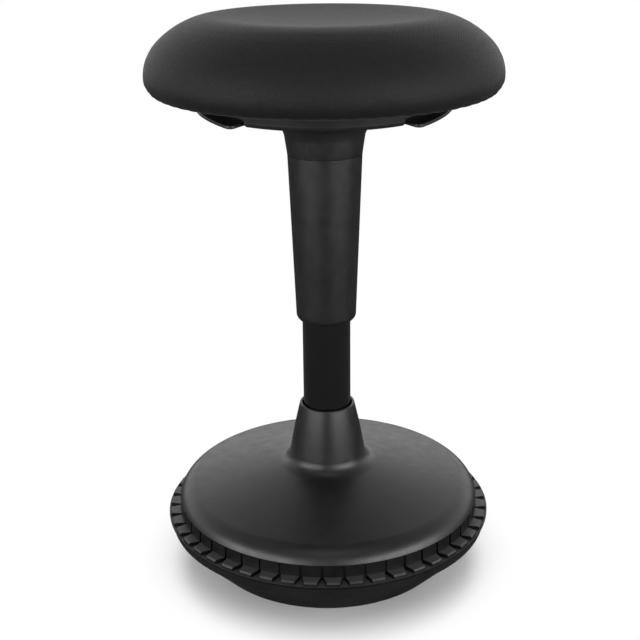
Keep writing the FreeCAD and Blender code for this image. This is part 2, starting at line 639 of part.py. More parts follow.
def hub_bolts():
    """Hexagon bolts that hold the hub to the pan's floor."""
    head = hexagon(HUB_BOLT_RADIUS * SCREW_HEAD_RATIO, HUB_FLANGE_TOP, HUB_FLANGE_TOP + HUB_BOLT_RADIUS,
                   HUB_BOLT_CIRCLE)
    one = head.fuse(post(HUB_BOLT_RADIUS, SOLE_THICKNESS + SOFT_GAP, HUB_FLANGE_TOP, HUB_BOLT_CIRCLE))
    return group(pattern(one, GUSSET_COUNT, SCREW_PHASE))


def outer_tube():
    """Steel column tube of the gas lift."""
    return ring(TUBE_INNER, TUBE_RADIUS, HUB_FLANGE_TOP, TUBE_TOP)


def tube_end_cap():
    """Plate across the tube that carries the thrust bearing."""
    return ring(ROD_SPIGOT_RADIUS + RUNNING_FIT, TUBE_INNER, END_CAP_BOTTOM, END_CAP_TOP)


def guide_bushing():
    """Plastic guide in the tube's mouth, in which the cylinder slides."""
    bore = CYLINDER_RADIUS + RUNNING_FIT
    return turned(
        (bore, TUBE_TOP - GUIDE_LENGTH), (TUBE_INNER, TUBE_TOP - GUIDE_LENGTH), (TUBE_INNER, TUBE_TOP),
        (TUBE_RADIUS, TUBE_TOP), (TUBE_RADIUS - GUIDE_FLANGE / 2, TUBE_TOP + GUIDE_FLANGE),
        (bore, TUBE_TOP + GUIDE_FLANGE),
    )


def bearing_lower_race():
    """Fixed washer of the thrust bearing."""
    return ring(ROD_SPIGOT_RADIUS + SOFT_GAP, RACE_RADIUS, END_CAP_TOP, END_CAP_TOP + RACE_THICKNESS)


def bearing_upper_race():
    """Washer that turns with the rod."""
    return ring(ROD_SPIGOT_RADIUS, RACE_RADIUS, UPPER_RACE_BOTTOM, UPPER_RACE_TOP)


def bearing_balls():
    """Balls between the washers."""
    one = Part.makeSphere(BALL_RADIUS, FreeCAD.Vector(BALL_CIRCLE, 0, CAGE_LEVEL))
    return group(pattern(one, BALL_COUNT))


def bearing_cage():
    """Ring that keeps the balls apart."""
    half = CAGE_THICKNESS / 2
    shape = ring(ROD_SPIGOT_RADIUS + SOFT_GAP, RACE_RADIUS, CAGE_LEVEL - half, CAGE_LEVEL + half)
    hole = post(BALL_RADIUS + RUNNING_FIT, CAGE_LEVEL - half, CAGE_LEVEL + half, BALL_CIRCLE)
    return shape.cut(pattern(hole, BALL_COUNT))


def piston_rod():
    """Rod with its spigot through the bearing and the groove of its clip."""
    clip_top = END_CAP_BOTTOM - CLIP_GAP
    clip_bottom = clip_top - CLIP_THICKNESS
    groove = ROD_SPIGOT_RADIUS - CLIP_THICKNESS / 2
    end = clip_bottom - ROD_END_BELOW_CLIP
    top = PISTON_TOP + ROD_TOP_ABOVE_PISTON
    return turned(
        (0, end), (ROD_SPIGOT_RADIUS, end), (ROD_SPIGOT_RADIUS, clip_bottom), (groove, clip_bottom),
        (groove, clip_top), (ROD_SPIGOT_RADIUS, clip_top), (ROD_SPIGOT_RADIUS, UPPER_RACE_TOP),
        (ROD_RADIUS, UPPER_RACE_TOP), (ROD_RADIUS, PISTON_BOTTOM), (ROD_SPIGOT_RADIUS, PISTON_BOTTOM),
        (ROD_SPIGOT_RADIUS, top - ROD_CHAMFER), (ROD_SPIGOT_RADIUS - ROD_CHAMFER, top), (0, top),
    )


def rod_clip():
    """Open clip in the rod's groove, under the end cap."""
    clip_top = END_CAP_BOTTOM - CLIP_GAP
    shape = ring(ROD_SPIGOT_RADIUS - CLIP_THICKNESS / 2, CLIP_RADIUS, clip_top - CLIP_THICKNESS, clip_top)
    mouth = block((0, -CLIP_THICKNESS, clip_top - CLIP_THICKNESS), (CLIP_RADIUS + OVERLAP, CLIP_THICKNESS, clip_top))
    return shape.cut(mouth)


def bump_ring():
    """Rubber stop round the rod's foot."""
    top = UPPER_RACE_TOP + BUMP_HEIGHT
    inner = ROD_RADIUS + SOFT_GAP
    return turned((inner, UPPER_RACE_TOP), (BUMP_RADIUS, UPPER_RACE_TOP), (BUMP_RADIUS, top - BUMP_BEVEL),
                  (BUMP_RADIUS - BUMP_BEVEL, top), (inner, top))


def piston():
    """Piston with the groove of its ring."""
    outer = BORE_RADIUS - PISTON_FIT
    middle = (PISTON_BOTTOM + PISTON_TOP) / 2
    low = middle - PISTON_RING_WIDTH / 2
    high = middle + PISTON_RING_WIDTH / 2
    groove = outer - PISTON_RING_DEPTH
    return turned(
        (ROD_SPIGOT_RADIUS, PISTON_BOTTOM), (outer, PISTON_BOTTOM), (outer, low), (groove, low),
        (groove, high), (outer, high), (outer, PISTON_TOP), (ROD_SPIGOT_RADIUS, PISTON_TOP),
    )


def piston_ring():
    """Sealing ring in the piston's groove."""
    outer = BORE_RADIUS - PISTON_FIT / 2
    middle = (PISTON_BOTTOM + PISTON_TOP) / 2
    return ring(BORE_RADIUS - PISTON_FIT - PISTON_RING_DEPTH, outer,
                middle - PISTON_RING_WIDTH / 2, middle + PISTON_RING_WIDTH / 2)


def pressure_cylinder():
    """Gas cylinder: rolled lips at both ends and a tapered top."""
    taper_start = CYLINDER_TOP - TAPER_LENGTH
    tip = CYLINDER_RADIUS - TAPER_DROP
    lip = BORE_RADIUS - CYLINDER_LIP_REACH
    return turned(
        (lip, CYLINDER_BOTTOM), (CYLINDER_RADIUS - CYLINDER_EDGE, CYLINDER_BOTTOM),
        (CYLINDER_RADIUS, CYLINDER_BOTTOM + CYLINDER_EDGE), (CYLINDER_RADIUS, taper_start),
        (tip, CYLINDER_TOP - CYLINDER_EDGE), (tip - CYLINDER_EDGE, CYLINDER_TOP), (lip, CYLINDER_TOP),
        (lip, VALVE_TOP), (BORE_RADIUS - TAPER_DROP, VALVE_TOP), (BORE_RADIUS - TAPER_DROP, VALVE_TOP - VALVE_LENGTH),
        (BORE_RADIUS, VALVE_TOP - VALVE_LENGTH), (BORE_RADIUS, GLAND_BOTTOM), (lip, GLAND_BOTTOM),
    )


def rod_gland():
    """Guide of the rod in the cylinder's lower end."""
    return ring(ROD_RADIUS + RUNNING_FIT, BORE_RADIUS, GLAND_BOTTOM, GLAND_BOTTOM + GLAND_LENGTH)


def gland_seal():
    """Lip seal above the gland."""
    return ring(ROD_RADIUS + RUNNING_FIT, BORE_RADIUS, GLAND_BOTTOM + GLAND_LENGTH, SEAL_TOP)


def valve_body():
    """Valve in the cylinder's upper end, bored for the release pin."""
    return ring(PIN_RADIUS + RUNNING_FIT, BORE_RADIUS - TAPER_DROP, VALVE_TOP - VALVE_LENGTH, VALVE_TOP)


def release_pin():
    """Pin that opens the valve when it is pressed."""
    head_bottom = CAP_BOTTOM - PIN_HEAD_HEIGHT
    shank = post(PIN_RADIUS, VALVE_TOP - VALVE_LENGTH + PIN_SEAT, head_bottom)
    return shank.fuse(post(PIN_HEAD_RADIUS, head_bottom, CAP_BOTTOM + CAP_POCKET))


def release_cap():
    """Button between the pin and the two levers."""
    shape = turned(
        (0, CAP_BOTTOM), (CAP_RADIUS - CAP_EDGE, CAP_BOTTOM), (CAP_RADIUS, CAP_BOTTOM + CAP_EDGE),
        (CAP_RADIUS, CAP_TOP - CAP_EDGE), (CAP_RADIUS - CAP_EDGE, CAP_TOP), (0, CAP_TOP),
    )
    return shape.cut(post(PIN_HEAD_RADIUS, CAP_BOTTOM, CAP_BOTTOM + CAP_POCKET))


def sleeve():
    """Tapered tube that hides the column, with a rolled lower lip and a spigot for the neck."""
    slope = (SLEEVE_SEAM_RADIUS - SLEEVE_LOW_RADIUS) / (SLEEVE_SEAM - SLEEVE_BOTTOM)
    lean = -math.degrees(math.atan(slope))
    lip_z = SLEEVE_BOTTOM + SLEEVE_LIP_ROUND
    centre = (SLEEVE_LOW_RADIUS - SLEEVE_LIP_ROUND, lip_z)
    lip_end = -math.degrees(math.acos((SLEEVE_OPENING - centre[0]) / SLEEVE_LIP_ROUND))
    lip = arc_step(centre, SLEEVE_LIP_ROUND, lip_end, lean)
    start = on_circle(centre, SLEEVE_LIP_ROUND, lip_end)
    spigot = SLEEVE_SEAM_RADIUS - SHELL_WALL - SLEEVE_SLIP
    inner_low = SLEEVE_LOW_RADIUS - SLEEVE_WALL
    inner_high = SLEEVE_SEAM_RADIUS - SLEEVE_WALL - SLEEVE_WALL
    return turned(
        start, lip, (SLEEVE_SEAM_RADIUS, SLEEVE_SEAM), (spigot, SLEEVE_SEAM), (spigot, SLEEVE_SEAM + SLEEVE_SPIGOT),
        (inner_high, SLEEVE_SEAM + SLEEVE_SPIGOT), (inner_high, SLEEVE_SEAM - SLEEVE_SPIGOT),
        (inner_low, lip_z), (SLEEVE_OPENING, lip_z - SLEEVE_WALL),
    )


def shell_surface(inset):
    """Arcs of the shell from the neck to the rim, moved in by an inset, and the neck's lower corner."""
    seam = SLEEVE_SEAM + SEAM_GAP
    flare_start = (NECK_FLARE_START_RADIUS, NECK_FLARE_START)
    flare_centre = on_circle(flare_start, NECK_FLARE_RADIUS, NECK_NORMAL)
    flare_end = on_circle(flare_centre, -NECK_FLARE_RADIUS, UNDERSIDE_NORMAL)
    slope = math.tan(math.radians(UPWARD + UNDERSIDE_NORMAL))
    rim_r = SHELL_RADIUS - SHELL_RIM_ROUND
    low_r = rim_r + SHELL_RIM_ROUND * math.cos(math.radians(UNDERSIDE_NORMAL))
    low_z = flare_end[1] + slope * (low_r - flare_end[0])
    rim_centre = (rim_r, low_z - SHELL_RIM_ROUND * math.sin(math.radians(UNDERSIDE_NORMAL)))
    neck_r = SLEEVE_SEAM_RADIUS + NECK_STEP - inset / math.cos(math.radians(NECK_NORMAL))
    flare = (flare_centre, -(NECK_FLARE_RADIUS + inset), NECK_NORMAL, UNDERSIDE_NORMAL)
    rim = (rim_centre, SHELL_RIM_ROUND - inset, UNDERSIDE_NORMAL, 0.0)
    return (neck_r, seam), flare, rim


def pocket_tool():
    """Room in the shell for one lever's grip and its travel."""
    return sector(POCKET_INNER_RADIUS, SHELL_FLANGE_RADIUS + OVERLAP, POCKET_HALF_ANGLE, SLEEVE_SEAM, SHELL_FLANGE_BOTTOM)


def seat_shell():
    """Moulded underside: neck, flare, rim, top flange, screw bosses and a pocket for each lever."""
    neck, flare, rim = shell_surface(0.0)
    neck_in, flare_in, rim_in = shell_surface(SHELL_WALL)
    flare_steps = (on_circle(flare[0], flare[1], flare[2]), arc_step(*flare))
    rim_steps = (on_circle(rim[0], rim[1], rim[2]), arc_step(*rim))
    rim_back = (on_circle(rim_in[0], rim_in[1], rim_in[3]), arc_step(rim_in[0], rim_in[1], rim_in[3], rim_in[2]))
    flare_back = (on_circle(flare_in[0], flare_in[1], flare_in[3]),
                  arc_step(flare_in[0], flare_in[1], flare_in[3], flare_in[2]))
    top_inner = SHELL_TOP_RADIUS - SHELL_WALL
    shape = turned(
        neck, *flare_steps, *rim_steps, (SHELL_TOP_RADIUS, SHELL_FLANGE_BOTTOM),
        (SHELL_FLANGE_RADIUS, SHELL_FLANGE_BOTTOM), (SHELL_FLANGE_RADIUS, BOARD_BOTTOM),
        (SHELL_FLANGE_INNER, BOARD_BOTTOM), (SHELL_FLANGE_INNER, SHELL_FLANGE_BOTTOM),
        (top_inner, SHELL_FLANGE_BOTTOM), *rim_back, *flare_back, neck_in,
    )
    # Solid between the underside's mid-surface and the board, to end the inner walls on
    room = turned(
        (NECK_FLARE_START_RADIUS, BOARD_BOTTOM), on_circle(flare[0], flare[1] - SHELL_WALL / 2, UNDERSIDE_NORMAL),
        on_circle(rim[0], rim[1] - SHELL_WALL / 2, UNDERSIDE_NORMAL), (SHELL_RADIUS - OVERLAP, rim[0][1]),
        (SHELL_RADIUS - OVERLAP, BOARD_BOTTOM),
    )
    wall_inner = POCKET_INNER_RADIUS - SHELL_WALL
    wall_angle = POCKET_HALF_ANGLE + math.degrees(SHELL_WALL / POCKET_INNER_RADIUS)
    liner = sector(wall_inner, SHELL_RADIUS - OVERLAP, wall_angle, SLEEVE_SEAM, SHELL_FLANGE_BOTTOM).common(room)
    roof = sector(wall_inner, SHELL_FLANGE_RADIUS, wall_angle, SHELL_FLANGE_BOTTOM, BOARD_BOTTOM)
    slot = block((wall_inner - OVERLAP, -ARM_HALF - SLOT_GAP, ARM_BOTTOM - SLOT_GAP),
                 (POCKET_INNER_RADIUS + OVERLAP, ARM_HALF + SLOT_GAP, SHELL_FLANGE_BOTTOM))
    boss = post(SHELL_BOSS_RADIUS, SLEEVE_SEAM, BOARD_BOTTOM, SHELL_SCREW_CIRCLE).common(room)
    recess = post(SHELL_RECESS_RADIUS, SLEEVE_SEAM, SHELL_RECESS_TOP, SHELL_SCREW_CIRCLE)
    passage = post(SHELL_SCREW_RADIUS + BOLT_HOLE_GAP, SHELL_RECESS_TOP, BOARD_BOTTOM, SHELL_SCREW_CIRCLE)
    added = pattern(liner, 2) + pattern(roof, 2) + pattern(boss, SHELL_SCREW_COUNT, SCREW_PHASE)
    cuts = pattern(pocket_tool(), 2) + pattern(slot, 2)
    cuts += pattern(recess.fuse(passage), SHELL_SCREW_COUNT, SCREW_PHASE)
    return shape.fuse(added).cut(cuts).removeSplitter()


def shell_screws():
    """Screws that hold the shell to the board."""
    one = screw(SHELL_SCREW_RADIUS, SHELL_HEAD_RADIUS, SHELL_RECESS_TOP - SHELL_HEAD_HEIGHT, SHELL_RECESS_TOP,
                shell_screw_tip(), SHELL_SCREW_CIRCLE)
    return group(pattern(one, SHELL_SCREW_COUNT, SCREW_PHASE))


def shell_screw_tip():
    """Level of the shell screws' tips in the board."""
    return BOARD_BOTTOM + SHELL_SCREW_BITE


def seat_board():
    """Plywood disc with the holes of the plate's bolts and of the shell's screws."""
    shape = post(BOARD_RADIUS, BOARD_BOTTOM, BOARD_TOP)
    shape = shape.makeChamfer(BOARD_CHAMFER, [edge for edge in shape.Edges if edge.Curve.TypeId == "Part::GeomCircle"])
    cuts = []
    for x, y in bolt_places():
        cuts.append(post(TNUT_BARREL_RADIUS, BOARD_BOTTOM, BOARD_TOP, x, y))
        cuts.append(post(TNUT_FLANGE_RADIUS, BOARD_TOP - TNUT_FLANGE, BOARD_TOP, x, y))
    pilot = post(SHELL_SCREW_RADIUS, BOARD_BOTTOM, shell_screw_tip(), SHELL_SCREW_CIRCLE)
    cuts += pattern(pilot, SHELL_SCREW_COUNT, SCREW_PHASE)
    return shape.cut(cuts)


def bolt_places():
    """Centres of the four bolts through the seat plate."""
    return [(x, y) for x in (-PLATE_BOLT_X, PLATE_BOLT_X) for y in (-PLATE_BOLT_Y, PLATE_BOLT_Y)]


def t_nuts():
    """Barbed nuts let into the top of the board."""
    nuts = []
    for x, y in bolt_places():
        body = post(TNUT_FLANGE_RADIUS, BOARD_TOP - TNUT_FLANGE, BOARD_TOP, x, y)
        body = body.fuse(post(TNUT_BARREL_RADIUS, BOARD_TOP - TNUT_BARREL_LENGTH, BOARD_TOP, x, y))
        nuts.append(body.cut(post(PLATE_BOLT_RADIUS, BOARD_BOTTOM, BOARD_TOP, x, y)))
    return group(nuts)


def plate_bolts():
    """Bolts that hold the seat plate to the board."""
    bolts = []
    for x, y in bolt_places():
        head = hexagon(PLATE_BOLT_RADIUS * SCREW_HEAD_RATIO, PLATE_BOTTOM - PLATE_BOLT_RADIUS, PLATE_BOTTOM, x, y)
        bolts.append(head.fuse(post(PLATE_BOLT_RADIUS, PLATE_BOTTOM, BOARD_TOP - SOFT_GAP, x, y)))
    return group(bolts)


def seat_plate():
    """Pressed plate with turned-down edges, gussets and the ears of the lever pins."""
    half_x = PLATE_LENGTH / 2
    half_y = PLATE_WIDTH / 2
    shape = block((-half_x, -half_y, PLATE_BOTTOM), (half_x, half_y, BOARD_BOTTOM))
    shape = shape.makeFillet(PLATE_CORNER, upright_edges(shape))
    run = half_x - PLATE_CORNER
    edge_low = PLATE_BOTTOM - PLATE_EDGE_DROP
    added = []
    for side in (-1, 1):
        near = side * (half_y - PLATE_THICKNESS)
        far = side * half_y
        added.append(block((-run, min(near, far), edge_low), (run, max(near, far), BOARD_BOTTOM)))
    gusset = section(
        (SOCKET_RADIUS, PLATE_BOTTOM + OVERLAP), (SOCKET_RADIUS + SOCKET_GUSSET_REACH, PLATE_BOTTOM + OVERLAP),
        (SOCKET_RADIUS + SOCKET_GUSSET_REACH, PLATE_BOTTOM - PLATE_THICKNESS),
        (SOCKET_RADIUS + PLATE_THICKNESS, PLATE_BOTTOM - SOCKET_GUSSET_HEIGHT),
        (SOCKET_RADIUS, PLATE_BOTTOM - SOCKET_GUSSET_HEIGHT),
    )
    gusset = across(gusset, PLATE_THICKNESS).cut(post(SOCKET_RADIUS, 0, BOARD_TOP))
    added += pattern(gusset, SOCKET_GUSSET_COUNT, FULL_TURN / SOCKET_GUSSET_COUNT / 2)
    ear_near = PIVOT_BOSS_HALF + EAR_GAP
    for x in (-PIVOT_X, PIVOT_X):
        for side in (-1, 1):
            ys = sorted((side * ear_near, side * (ear_near + EAR_THICKNESS)))
            ear = block((x - EAR_HALF, ys[0], PIVOT_Z), (x + EAR_HALF, ys[1], PLATE_BOTTOM + OVERLAP))
            tip = Part.makeCylinder(EAR_HALF, EAR_THICKNESS, FreeCAD.Vector(x, ys[0], PIVOT_Z), ALONG_Y)
            added.append(ear.fuse(tip))
    holes = [post(PLATE_BOLT_RADIUS + BOLT_HOLE_GAP, PLATE_BOTTOM, BOARD_BOTTOM, x, y) for x, y in bolt_places()]
    holes += [pivot_bar(x, PIVOT_PIN_RADIUS, PIVOT_PIN_HALF) for x in (-PIVOT_X, PIVOT_X)]
    return shape.fuse(added).cut(holes).removeSplitter()


def pivot_bar(x, radius, half):
    """Round bar along a lever's pivot axis."""
    return Part.makeCylinder(radius, 2 * half, FreeCAD.Vector(x, -half, PIVOT_Z), ALONG_Y)


def lever_pins():
    """Headed pins through the ears and the levers."""
    pins = []
    for x in (-PIVOT_X, PIVOT_X):
        end = FreeCAD.Vector(x, PIVOT_PIN_HALF, PIVOT_Z)
        cap = Part.makeCylinder(PIVOT_HEAD_RADIUS, PIVOT_HEAD, end, ALONG_Y)
        pins.append(pivot_bar(x, PIVOT_PIN_RADIUS, PIVOT_PIN_HALF).fuse(cap))
    return group(pins)


def seat_socket():
    """Tapered socket of the seat plate, with windows for the levers' noses."""
    taper_top = CYLINDER_RADIUS - TAPER_DROP + TAPER_FIT
    shape = turned(
        (CYLINDER_RADIUS + TAPER_FIT, SOCKET_BOTTOM), (SOCKET_RADIUS, SOCKET_BOTTOM), (SOCKET_RADIUS, PLATE_BOTTOM),
        (SOCKET_CHAMBER_RADIUS, PLATE_BOTTOM), (SOCKET_CHAMBER_RADIUS, CYLINDER_TOP), (taper_top, CYLINDER_TOP),
    )
    half = ARM_HALF + WINDOW_GAP
    drop = (PIVOT_X - NOSE_REACH) * math.sin(math.radians(LEVER_SWEEP)) + WINDOW_GAP
    window = block((NOSE_REACH - OVERLAP, -half, ARM_BOTTOM - drop), (SOCKET_RADIUS + OVERLAP, half, PLATE_BOTTOM))
    return shape.cut(pattern(window, 2))


def right_lever():
    """Lever on the +X side: nose, pivot boss, arm and arched grip."""
    top = ARM_BOTTOM + ARM_HEIGHT
    root = GRIP_INNER_RADIUS + ARM_ROOT
    plan = [(NOSE_REACH, ARM_HALF), (POCKET_INNER_RADIUS, ARM_HALF), (root, ARM_SPREAD_HALF),
            (root, -ARM_SPREAD_HALF), (POCKET_INNER_RADIUS, -ARM_HALF), (NOSE_REACH, -ARM_HALF)]
    corners = [FreeCAD.Vector(x, y, ARM_BOTTOM) for x, y in plan]
    arm = Part.Face(Part.makePolygon(corners + corners[:1])).extrude(UP * ARM_HEIGHT)
    tip = FreeCAD.Vector(NOSE_REACH + ARM_HEIGHT / 2, -ARM_HALF, ARM_BOTTOM + ARM_HEIGHT / 2)
    nose = Part.makeCylinder(ARM_HEIGHT / 2, 2 * ARM_HALF, tip, ALONG_Y)
    square = block((NOSE_REACH - OVERLAP, -ARM_HALF, ARM_BOTTOM), (NOSE_REACH + ARM_HEIGHT / 2, ARM_HALF, top))
    arm = arm.cut(square).fuse(nose)
    boss = pivot_bar(PIVOT_X, PIVOT_BOSS_RADIUS, PIVOT_BOSS_HALF)
    shape = arm.fuse([boss, grip()])
    return shape.cut(pivot_bar(PIVOT_X, PIVOT_PIN_RADIUS + RUNNING_FIT, PIVOT_BOSS_HALF)).removeSplitter()


def grip():
    """Arched grip that follows the seat's rim, with eased corners and edges."""
    plan = sector(GRIP_INNER_RADIUS, GRIP_OUTER_RADIUS, GRIP_HALF_ANGLE, SLEEVE_SEAM, BOARD_TOP)
    middle = (GRIP_INNER_RADIUS + GRIP_OUTER_RADIUS) / 2
    corners = [edge for edge in upright_edges(plan) if math.hypot(edge.firstVertex().X, edge.firstVertex().Y) > middle]
    plan = plan.makeFillet(GRIP_CORNER, corners)
    centre = (0.0, ARM_BOTTOM - GRIP_ARCH_RADIUS)
    spread = math.degrees(GRIP_OUTER_RADIUS / GRIP_ARCH_RADIUS)
    outer = GRIP_ARCH_RADIUS + GRIP_THICKNESS
    strip = section(
        on_circle(centre, GRIP_ARCH_RADIUS, UPWARD + spread),
        arc_step(centre, GRIP_ARCH_RADIUS, UPWARD + spread, UPWARD - spread),
        on_circle(centre, outer, UPWARD - spread),
        arc_step(centre, outer, UPWARD - spread, UPWARD + spread),
    )
    strip.rotate(ORIGIN, UP, FULL_TURN / 4)
    strip = strip.extrude(FreeCAD.Vector(GRIP_OUTER_RADIUS + OVERLAP, 0, 0))
    shape = strip.common(plan)
    rims = [edge for edge in shape.Edges if edge.Length > GRIP_THICKNESS * 2]
    return shape.makeFillet(GRIP_EDGE, rims)


def left_lever():
    """Lever on the -X side."""
    return spun(right_lever(), FULL_TURN / 2)


# Cushion: the section shared by the cloth cover and the foam

def seat_outline(inset):
    """Arcs of the cushion from its lower edge up over the crest to the dish, moved in by an inset."""
    lower_centre = (SEAT_RADIUS - SEAT_LOWER_ROUND, SEAT_WIDEST)
    side_centre = (SEAT_RADIUS - SEAT_SIDE_ROUND, SEAT_WIDEST)
    shoulder_centre = on_circle(side_centre, SEAT_SIDE_ROUND - SEAT_SHOULDER_ROUND, SIDE_TURN)
    crest_centre = on_circle(shoulder_centre, SEAT_SHOULDER_ROUND - SEAT_CREST_ROUND, CREST_TURN)
    crest_end = on_circle(crest_centre, SEAT_CREST_ROUND, DISH_TURN)
    dish_radius = crest_end[0] / -math.cos(math.radians(DISH_TURN))
    dish_centre = on_circle(crest_end, dish_radius, DISH_TURN)
    return [
        (lower_centre, SEAT_LOWER_ROUND - inset, DOWNWARD, 0.0),
        (side_centre, SEAT_SIDE_ROUND - inset, 0.0, SIDE_TURN),
        (shoulder_centre, SEAT_SHOULDER_ROUND - inset, SIDE_TURN, CREST_TURN),
        (crest_centre, SEAT_CREST_ROUND - inset, CREST_TURN, DISH_TURN),
        (dish_centre, -(dish_radius + inset), DISH_TURN, UPWARD),
    ]


def seat_cover():
    """Cloth skin over the crest, the dish and the drawn-in sides, turned under the foam as a flap."""
    outer = seat_outline(0.0)
    inner = seat_outline(COVER_CLOTH)
    start = on_circle(outer[0][0], outer[0][1], DOWNWARD)
    flap_top = start[1] + COVER_CLOTH
    out_steps = [arc_step(*arc) for arc in outer]
    in_steps = [arc_step(centre, radius, end, begin) for centre, radius, begin, end in reversed(inner)]
    in_start = on_circle(inner[-1][0], inner[-1][1], UPWARD)
    return turned(
        (FLAP_INNER_RADIUS, start[1]), start, *out_steps, in_start, *in_steps, (FLAP_INNER_RADIUS, flap_top),
    )


def seat_foam():
    """Foam pad that wraps the edge of the board."""
    inset = COVER_CLOTH + SOFT_GAP
    outer = seat_outline(inset)
    start = on_circle(outer[0][0], outer[0][1], DOWNWARD)
    steps = [arc_step(*arc) for arc in outer]
    edge = BOARD_RADIUS + SOFT_GAP
    top = BOARD_TOP + SOFT_GAP
    return turned((edge, start[1]), start, *steps, (0, top), (edge, top))


NODES = {
    "base_cover": base_cover,
    "tread_ring": tread_ring,
    "base_pan": base_pan,
    "rubber_sole": sole,
    "cover_screws": cover_screws,
    "ballast_ring": ballast_ring,
    "ballast_screws": ballast_screws,
    "hub_socket": hub_socket,
    "hub_bolts": hub_bolts,
    "outer_tube": outer_tube,
    "tube_end_cap": tube_end_cap,
    "guide_bushing": guide_bushing,
    "bearing_lower_race": bearing_lower_race,
    "bearing_balls": bearing_balls,
    "bearing_cage": bearing_cage,
    "bearing_upper_race": bearing_upper_race,
    "piston_rod": piston_rod,
    "rod_clip": rod_clip,
    "bump_ring": bump_ring,
    "piston": piston,
    "piston_ring": piston_ring,
    "pressure_cylinder": pressure_cylinder,
    "rod_gland": rod_gland,
    "gland_seal": gland_seal,
    "valve_body": valve_body,
    "release_pin": release_pin,
    "release_cap": release_cap,
    "sleeve": sleeve,
    "seat_shell": seat_shell,
    "shell_screws": shell_screws,
    "seat_board": seat_board,
    "t_nuts": t_nuts,
    "seat_plate": seat_plate,
    "plate_bolts": plate_bolts,
    "seat_socket": seat_socket,
    "lever_pins": lever_pins,
    "left_lever": left_lever,
    "right_lever": right_lever,
    "seat_foam": seat_foam,
    "seat_cover": seat_cover,
}

os.makedirs("parts", exist_ok=True)
for node, make in NODES.items():
    solid = make()
    solid.exportStep("parts/" + node + ".step")
    print(node, len(solid.Solids), "valid" if solid.isValid() else "not valid")
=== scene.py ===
import bpy
import bmesh
import math
from mathutils import Matrix, Vector
from mathutils.kdtree import KDTree

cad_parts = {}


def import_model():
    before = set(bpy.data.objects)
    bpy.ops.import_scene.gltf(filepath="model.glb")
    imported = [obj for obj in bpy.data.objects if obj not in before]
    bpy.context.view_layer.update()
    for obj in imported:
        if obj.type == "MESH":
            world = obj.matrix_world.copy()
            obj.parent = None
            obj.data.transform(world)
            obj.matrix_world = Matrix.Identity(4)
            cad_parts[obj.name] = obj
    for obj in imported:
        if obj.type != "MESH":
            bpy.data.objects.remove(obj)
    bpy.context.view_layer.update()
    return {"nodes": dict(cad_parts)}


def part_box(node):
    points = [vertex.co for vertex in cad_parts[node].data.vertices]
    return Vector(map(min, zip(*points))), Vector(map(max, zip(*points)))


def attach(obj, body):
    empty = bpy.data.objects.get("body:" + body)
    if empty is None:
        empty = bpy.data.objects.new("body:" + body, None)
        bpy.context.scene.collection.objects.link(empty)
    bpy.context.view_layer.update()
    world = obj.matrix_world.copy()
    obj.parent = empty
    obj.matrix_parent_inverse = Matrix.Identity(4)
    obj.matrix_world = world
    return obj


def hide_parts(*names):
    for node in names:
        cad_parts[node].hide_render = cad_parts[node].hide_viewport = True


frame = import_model()
nodes = frame["nodes"]
scene = bpy.context.scene
scene.view_settings.view_transform = "Standard"

MM = 0.001

# Places of the inputs and the output of a mix node, for colours and for plain numbers
COLOUR_FIRST = 6
COLOUR_SECOND = 7
COLOUR_RESULT = 2
NUMBER_FIRST = 2
NUMBER_SECOND = 3
NUMBER_RESULT = 0

# Camera, fitted to the photograph
IMAGE_SIZE = 640.0
FOCAL_PIXELS = 1161.9
SENSOR_MM = 36.0
CAMERA_DISTANCE = 1.1365
CAMERA_HEIGHT = 0.7065
CAMERA_PITCH = 20.4
CAMERA_ROLL = 0.53
AXIS_PIXEL = 326.4            # column of the stool's axis at mid height

# Cushion, worked out from its CAD box
CLOTH_ROUNDS = {"side": 46.0 * MM, "shoulder": 90.0 * MM, "crest": 35.0 * MM, "lower": 16.0 * MM}
SIDE_TURN = 45.0
CREST_TURN = 73.0
DISH_TURN = 96.0


def on_circle(centre, radius, degrees):
    """Point of a section at an angle from +r towards +z."""
    turn = math.radians(degrees)
    return Vector((centre[0] + radius * math.cos(turn), centre[1] + radius * math.sin(turn)))


def mesh_object(name, vertices, faces, smooth=True):
    """Mesh object from vertices and faces."""
    mesh = bpy.data.meshes.new(name)
    mesh.from_pydata([tuple(v) for v in vertices], [], faces)
    mesh.update()
    if smooth:
        mesh.shade_smooth()
    obj = bpy.data.objects.new(name, mesh)
    scene.collection.objects.link(obj)
    return obj


